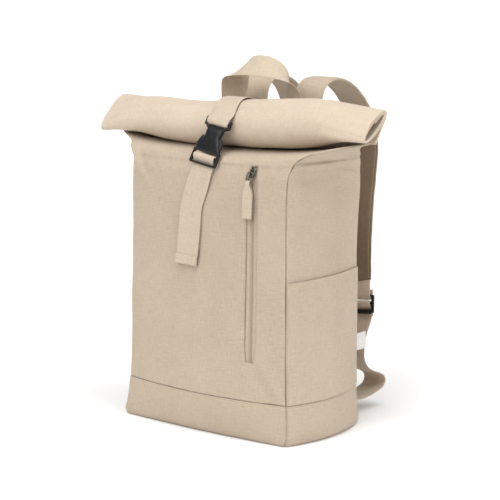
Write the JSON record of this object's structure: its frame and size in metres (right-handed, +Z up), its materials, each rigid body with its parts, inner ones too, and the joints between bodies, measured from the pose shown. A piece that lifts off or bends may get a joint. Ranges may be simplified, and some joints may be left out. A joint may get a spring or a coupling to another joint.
{
  "type": "rolltop backpack",
  "caption": "Canvas rolltop backpack standing closed, with a buckled strap over its roll, front zip pocket, slip side pocket, grab handle and two shoulder straps.",
  "frame": {"origin": "middle of the flat bottom, on the surface that the bag stands on", "axes": "+Z up, +Y toward the wearer's back, +X to the right seen from the front"},
  "size_m": [0.466, 0.3076, 0.5108],
  "materials": {
    "body_canvas": "plain weave canvas, natural beige",
    "band_canvas": "plain weave canvas, natural beige",
    "webbing": "flat cotton webbing, natural beige",
    "zip_tape": "woven zip tape and coil, beige",
    "black_plastic": "moulded black plastic, soft gloss",
    "slider_metal": "darkened polished metal",
    "label": "smooth white woven label, blank"
  },
  "bodies": {
    "root": {"front_panel": "body_canvas", "back_panel": "body_canvas", "side_panel_right": "body_canvas", "side_panel_left": "body_canvas", "bottom_band": "band_canvas", "rolled_mouth": "body_canvas", "side_pocket_right": "body_canvas", "zip_tape": "zip_tape", "zip_coil": "zip_tape", "zip_slider": "slider_metal", "zip_pull_ring": "slider_metal", "zip_pull_tab": "webbing", "buckle_male": "black_plastic", "buckle_female": "black_plastic", "closure_strap_lower": "webbing", "closure_strap_upper": "webbing", "handle": "webbing", "shoulder_strap_right": "body_canvas", "shoulder_strap_left": "body_canvas", "strap_adjuster_right": "black_plastic", "strap_adjuster_left": "black_plastic", "lower_webbing_right": "webbing", "lower_webbing_left": "webbing", "side_label": "label"}
  },
  "joints": []
}
